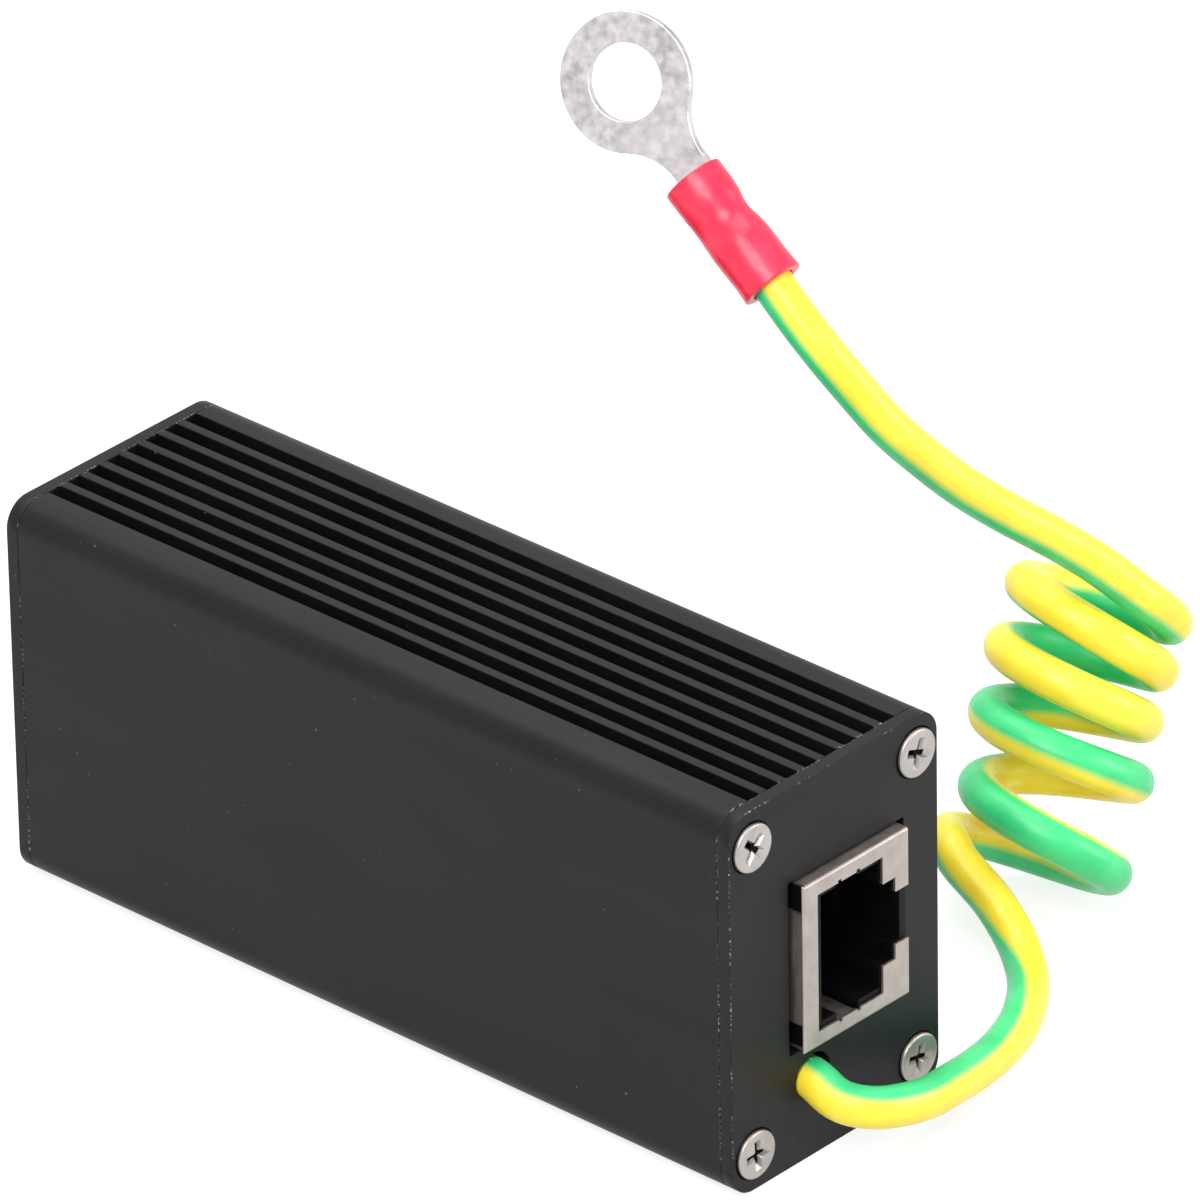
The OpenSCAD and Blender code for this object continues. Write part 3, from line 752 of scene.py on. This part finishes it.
for node, material in (("circuit_board", boardGreen), ("earth_conductor", strandCopper),
                       ("earth_solder", solderTin), ("terminal_strands", strandCopper),
                       ("diode_array_1", socketPlastic), ("diode_array_2", socketPlastic),
                       ("earth_wire_inner", wirePlastic)):
    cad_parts[node].data.materials.clear()
    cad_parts[node].data.materials.append(material)
for i in range(1, 5):
    for node, material in (("gas_tube_%d" % i, ceramic), ("gas_tube_caps_%d" % i, capMetal)):
        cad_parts[node].data.materials.clear()
        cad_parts[node].data.materials.append(material)


# Terminal: the ring and its barrel, and the vinyl sleeve that the crimping tool has squeezed

terminal = {
    "placeMm": (25.5, -12, 60),
    "tilt": (-65, -38, 90),
    "ringEdgeMm": 0.09,
    "ringFromMm": 12.0,
    "ringTopMm": -0.85,
    "ringThickMm": 0.8,
    "sleeveLengthMm": 11.3,
    "sleeveRadiusMm": 2.7,
    "boreMm": 1.9,
    "sides": 44,
    "rings": 28,
    # depth, place from the wire's end and breadth of each squeeze, as shares of the length but for the depth
    "rightWaist": (0.30, 0.59, 0.12),
    "leftWaist": (-0.10, 0.42, 0.20),
    "flatWaist": (0.55, 0.60, 0.15),
    "bellMm": 0.08,
    "lipMm": 0.1,
}


def terminalPlace():
    turn = Matrix()
    for axis, angle in zip("XYZ", terminal["tilt"]):
        turn = Matrix.Rotation(math.radians(angle), 4, axis) @ turn
    return Matrix.Translation(Vector(terminal["placeMm"]) * mm) @ turn


def dip(share, waist):
    return waist[0] * math.exp(-((share - waist[1]) / waist[2]) ** 2)


def vinylTube():
    # a ring of edges drawn out along the barrel, squeezed, and turned back through the bore
    deselectAll()
    length, radius = terminal["sleeveLengthMm"], terminal["sleeveRadiusMm"]
    bpy.ops.mesh.primitive_circle_add(vertices=terminal["sides"], radius=radius * mm)
    tube = bpy.context.object
    bpy.ops.object.mode_set(mode="EDIT")
    bpy.ops.mesh.select_all(action="SELECT")
    for _ in range(terminal["rings"]):
        bpy.ops.mesh.extrude_region_move(
            TRANSFORM_OT_translate={"value": (0, 0, length / terminal["rings"] * mm)})
    bpy.ops.object.mode_set(mode="OBJECT")
    for vertex in tube.data.vertices:
        x, y, z = vertex.co / mm
        share = z / length
        bell = terminal["bellMm"] * math.exp(-(share / 0.09) ** 2)
        side = "rightWaist" if y < 0 else "leftWaist"
        vertex.co.y *= 1 + (bell - dip(share, terminal[side])) / radius
        vertex.co.x *= 1 + (bell - dip(share, terminal["flatWaist"])) / radius
    pick(tube)
    bpy.ops.object.mode_set(mode="EDIT")
    bpy.ops.mesh.select_all(action="SELECT")
    bpy.ops.mesh.normals_make_consistent(inside=False)
    bpy.ops.object.mode_set(mode="OBJECT")
    first = tube.data.polygons[0]
    if first.normal.dot(first.center) < 0:
        tube.data.flip_normals()
    wall = tube.modifiers.new("wall", "SOLIDIFY")
    wall.thickness = (radius - terminal["boreMm"]) * mm
    wall.offset = -1
    bpy.ops.object.modifier_apply(modifier="wall")
    lip = tube.modifiers.new("lip", "BEVEL")
    lip.width = terminal["lipMm"] * mm
    lip.segments = 4
    lip.limit_method = "ANGLE"
    lip.angle_limit = math.radians(50)
    bpy.ops.object.modifier_apply(modifier="lip")
    bpy.ops.object.mode_set(mode="EDIT")
    bpy.ops.mesh.select_all(action="SELECT")
    bpy.ops.mesh.normals_make_consistent(inside=False)
    bpy.ops.object.mode_set(mode="OBJECT")
    # drawn along Z; the barrel runs along X of the terminal
    tube.data.transform(terminalPlace() @ Matrix.Rotation(math.radians(90), 4, "Y"))
    tube.name = "terminalSleeve"
    tube.data.materials.append(sleeveVinyl)
    bpy.ops.object.shade_smooth_by_angle(angle=math.radians(40))
    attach(tube, "root")
    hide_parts("terminal_sleeve")
    return tube


def roundRing(piece):
    # the stamped ring's two rims are rounded; the barrel keeps its sharp cut
    pick(piece)
    home = terminalPlace().inverted()
    flats = (terminal["ringTopMm"], terminal["ringTopMm"] - terminal["ringThickMm"])

    def onRim(x, y, z):
        along, _, height = (home @ (Vector((x, y, z)) * mm)) / mm
        return along > terminal["ringFromMm"] and min(abs(height - flat) for flat in flats) < 0.01

    bpy.ops.object.mode_set(mode="EDIT")
    selectEdges(piece, onRim)
    bpy.ops.mesh.bevel(offset=terminal["ringEdgeMm"] * mm, segments=3, affect="EDGES")
    bpy.ops.object.mode_set(mode="OBJECT")


ring = dressed("ring_terminal", "ringTerminal", [terminalTin], 0.03, roundRing, True)
sleeve = vinylTube()

wirePiece.data.materials.append(wirePlastic)
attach(wirePiece, "root")
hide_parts("earth_wire_lead", "earth_wire_coil", "earth_wire_tail")
print("wire and terminal dressed")


# Floor and light

studio = {
    "floorMm": 3000,
    "floorShade": 0.30,
    "worldFill": 0.62,
    "keyWatts": 4.0,
    "fillWatts": 2.0,
    "topWatts": 3.0,
}


def addFloor(size, shade):
    deselectAll()
    bpy.ops.mesh.primitive_plane_add(size=size * mm, location=(0, 0, -0.02 * mm))
    floor = bpy.context.object
    floor.name = "floor"
    bpy.ops.object.transform_apply(location=True, rotation=True, scale=True)
    material = bpy.data.materials.new("paleFloor")
    material.use_nodes = True
    nodes, links = material.node_tree.nodes, material.node_tree.links
    nodes.clear()
    diffuse = addNode(material, "ShaderNodeBsdfDiffuse", inputs={"Color": (shade, shade, shade, 1)})
    path = addNode(material, "ShaderNodeLightPath")
    seen = addNode(material, "ShaderNodeMath", {"operation": "MAXIMUM"})
    links.new(path.outputs["Is Camera Ray"], seen.inputs[0])
    links.new(path.outputs["Is Glossy Ray"], seen.inputs[1])
    seenToo = addNode(material, "ShaderNodeMath", {"operation": "MAXIMUM"})
    links.new(seen.outputs[0], seenToo.inputs[0])
    links.new(path.outputs["Is Transmission Ray"], seenToo.inputs[1])
    level = addNode(material, "ShaderNodeMapRange", inputs={
        "Value": seenToo.outputs[0], "From Min": 0.0, "From Max": 1.0, "To Min": 0.35, "To Max": 0.78})
    glow = addNode(material, "ShaderNodeEmission", inputs={
        "Color": (1, 1, 1, 1), "Strength": level.outputs["Result"]})
    both = addNode(material, "ShaderNodeAddShader")
    links.new(diffuse.outputs[0], both.inputs[0])
    links.new(glow.outputs[0], both.inputs[1])
    out = addNode(material, "ShaderNodeOutputMaterial", inputs={"Surface": both.outputs[0]})
    floor.data.materials.append(material)
    return out


def addWorld(fill):
    world = bpy.data.worlds.new("studio")
    bpy.context.scene.world = world
    world.use_nodes = True
    tree = world.node_tree
    background = tree.nodes["Background"]
    background.inputs["Color"].default_value = (1, 1, 1, 1)
    path = tree.nodes.new("ShaderNodeLightPath")
    first = tree.nodes.new("ShaderNodeMath")
    first.operation = "MAXIMUM"
    tree.links.new(path.outputs["Is Camera Ray"], first.inputs[0])
    tree.links.new(path.outputs["Is Glossy Ray"], first.inputs[1])
    second = tree.nodes.new("ShaderNodeMath")
    second.operation = "MAXIMUM"
    tree.links.new(first.outputs[0], second.inputs[0])
    tree.links.new(path.outputs["Is Transmission Ray"], second.inputs[1])
    level = tree.nodes.new("ShaderNodeMapRange")
    level.inputs["To Min"].default_value = fill
    level.inputs["To Max"].default_value = 1.0
    tree.links.new(second.outputs[0], level.inputs["Value"])
    tree.links.new(level.outputs["Result"], background.inputs["Strength"])


def addSoftbox(name, placeMm, aimMm, sizeMm, watts):
    lamp = bpy.data.lights.new(name, "AREA")
    lamp.shape = "RECTANGLE"
    lamp.size, lamp.size_y = sizeMm[0] * mm, sizeMm[1] * mm
    lamp.energy = watts
    light = bpy.data.objects.new(name, lamp)
    bpy.context.scene.collection.objects.link(light)
    light.location = Vector(placeMm) * mm
    light.rotation_euler = (Vector(aimMm) - Vector(placeMm)).to_track_quat("-Z", "Y").to_euler()


addFloor(studio["floorMm"], studio["floorShade"])
addWorld(studio["worldFill"])
addSoftbox("keySoftbox", (-420, -260, 520), (0, 0, 20), (420, 420), studio["keyWatts"])
addSoftbox("fillSoftbox", (420, -520, 260), (10, -20, 20), (380, 380), studio["fillWatts"])
addSoftbox("topSoftbox", (60, 120, 640), (10, 0, 20), (500, 500), studio["topWatts"])
bpy.context.scene.view_settings.view_transform = "Standard"
print("studio lit")
